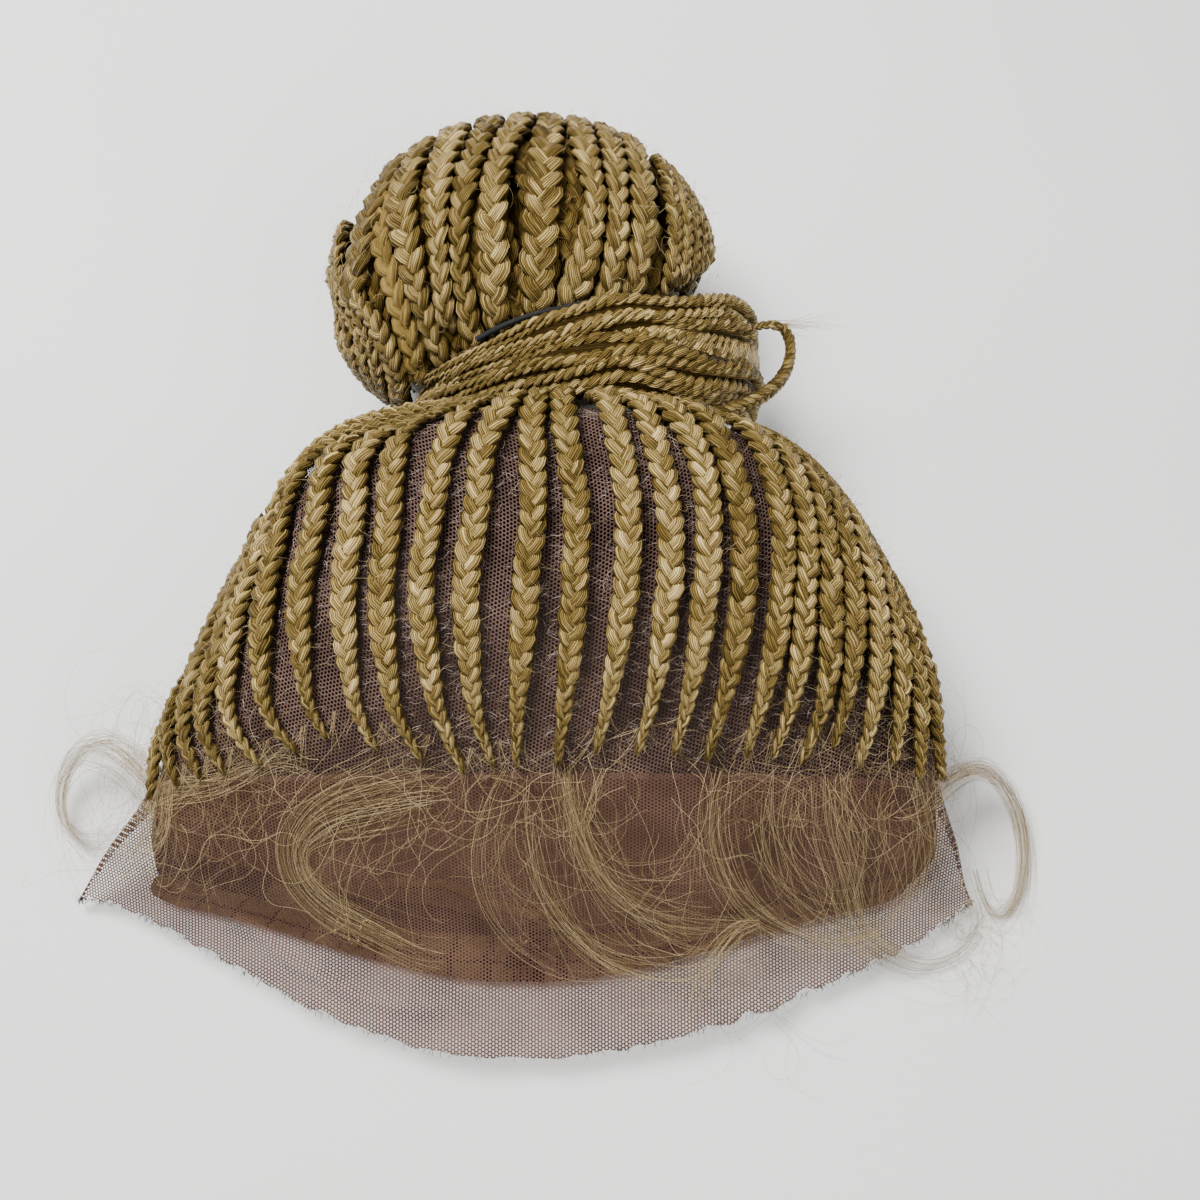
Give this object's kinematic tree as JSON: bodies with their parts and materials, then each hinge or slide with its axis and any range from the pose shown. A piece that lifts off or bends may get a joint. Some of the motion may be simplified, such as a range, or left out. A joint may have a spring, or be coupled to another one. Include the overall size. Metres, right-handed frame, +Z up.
{
  "type": "braid wig",
  "caption": "Flat-lying lace wig: stitched cornrows on a net cap, a free front lace with baby hair, a nape band with comb and hook, and a braided bun wound at its foot.",
  "frame": {"origin": "centre of the underside of the whole wig's box, on the floor it lies on", "axes": "+Z up, -Y out of the head opening and the front lace, +Y to the bun, +X to the wig's left ear side as it is worn"},
  "size_m": [0.3212, 0.3082, 0.1049],
  "materials": {
    "braid_hair": "synthetic hair in tight three-strand braids, soft sheen",
    "loose_hair": "loose fine synthetic hair",
    "cap_net": "sheer hexagonal lace net, matt",
    "nape_band": "stitched elastic webbing, matt",
    "panel_hem": "woven binding tape, matt",
    "comb": "brown moulded plastic, soft gloss",
    "adjuster_hook": "bent wire, plated",
    "black_elastic": "covered elastic, matt"
  },
  "bodies": {
    "root": {"lace_cap": "cap_net", "lace_front": "cap_net", "nape_band": "nape_band", "adjuster_strap": "nape_band", "panel_hem": "panel_hem", "comb": "comb", "adjuster_hook": "adjuster_hook", "bun_elastic": "black_elastic", "cornrow_left_4": "braid_hair", "cornrow_left_3": "braid_hair", "cornrow_left_2": "braid_hair", "cornrow_left_1": "braid_hair", "cornrow_00": "braid_hair", "cornrow_01": "braid_hair", "cornrow_02": "braid_hair", "cornrow_03": "braid_hair", "cornrow_04": "braid_hair", "cornrow_05": "braid_hair", "cornrow_06": "braid_hair", "cornrow_07": "braid_hair", "cornrow_08": "braid_hair", "cornrow_09": "braid_hair", "cornrow_10": "braid_hair", "cornrow_11": "braid_hair", "cornrow_12": "braid_hair", "cornrow_13": "braid_hair", "cornrow_14": "braid_hair", "cornrow_15": "braid_hair", "cornrow_16": "braid_hair", "cornrow_17": "braid_hair", "cornrow_18": "braid_hair", "cornrow_19": "braid_hair", "cornrow_20": "braid_hair", "back_cornrow_1": "braid_hair", "back_cornrow_2": "braid_hair", "back_cornrow_3": "braid_hair", "back_cornrow_4": "braid_hair", "back_cornrow_5": "braid_hair", "back_cornrow_6": "braid_hair", "back_cornrow_7": "braid_hair", "back_cornrow_8": "braid_hair", "bun_braid_01": "braid_hair", "bun_braid_02": "braid_hair", "bun_braid_03": "braid_hair", "bun_braid_04": "braid_hair", "bun_braid_05": "braid_hair", "bun_braid_06": "braid_hair", "bun_braid_07": "braid_hair", "bun_braid_08": "braid_hair", "bun_braid_09": "braid_hair", "bun_core": "braid_hair", "bun_left_coil": "braid_hair", "bun_right_fan": "braid_hair", "wrap_lower": "braid_hair", "wrap_upper": "braid_hair", "stray_braid": "braid_hair", "baby_hair_sweep": "loose_hair", "baby_hair_left": "loose_hair", "baby_hair_right": "loose_hair"}
  },
  "joints": []
}
